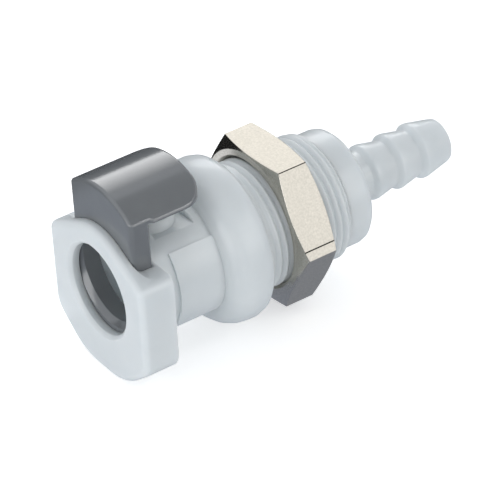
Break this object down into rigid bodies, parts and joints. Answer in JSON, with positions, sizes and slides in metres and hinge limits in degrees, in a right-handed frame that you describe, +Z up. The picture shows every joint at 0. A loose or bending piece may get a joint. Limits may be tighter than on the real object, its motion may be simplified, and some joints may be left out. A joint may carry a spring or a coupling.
{
  "type": "panel mount quick disconnect coupling body",
  "caption": "Plastic panel-mount quick disconnect coupling body with a spring thumb latch, a shut-off valve inside, a hexagon panel nut and a hose barb.",
  "frame": {"origin": "on the flow axis, in the plane of the flange face that meets the panel", "axes": "+X along the flow axis from the mating face to the hose barb, +Z up with the thumb pad on top"},
  "size_m": [0.0541, 0.0238, 0.0272],
  "materials": {
    "natural_polypropylene": "natural translucent polypropylene, soft gloss from the mould",
    "grey_latch_plastic": "mid grey moulded acetal, glossy",
    "spring_steel": "drawn stainless spring wire",
    "nickel_plated_brass": "nickel-plated brass, drawn flats and turned faces",
    "natural_polypropylene_barb": "natural translucent polypropylene, soft gloss from the mould",
    "white_poppet_plastic": "white moulded plastic",
    "black_ring_rubber": "black moulded rubber",
    "spring_steel_inner": "drawn stainless spring wire"
  },
  "bodies": {
    "housing": {"body": "natural_polypropylene", "hose_barb": "natural_polypropylene_barb", "latch_spring": "spring_steel", "valve_spring": "spring_steel_inner"},
    "latch": {"thumb_latch": "grey_latch_plastic"},
    "valve": {"valve_poppet": "white_poppet_plastic", "poppet_o_ring": "black_ring_rubber"},
    "nut": {"panel_nut": "nickel_plated_brass"}
  },
  "joints": [
    {"name": "latch_press", "type": "slide", "parent": "housing", "child": "latch", "axis": [0, 0, -1], "range_m": [0, 0.0014], "stiffness_N_per_m": 800, "springref_m": -0.002, "deforming": ["latch_spring"]},
    {"name": "valve_open", "type": "slide", "parent": "housing", "child": "valve", "axis": [1, 0, 0], "range_m": [0, 0.003], "stiffness_N_per_m": 400, "springref_m": -0.004, "deforming": ["valve_spring"]},
    {"name": "nut_turn", "type": "hinge", "parent": "housing", "child": "nut", "pos_m": [0.00607, 0, 0], "axis": [1, 0, 0], "continuous": true}
  ]
}
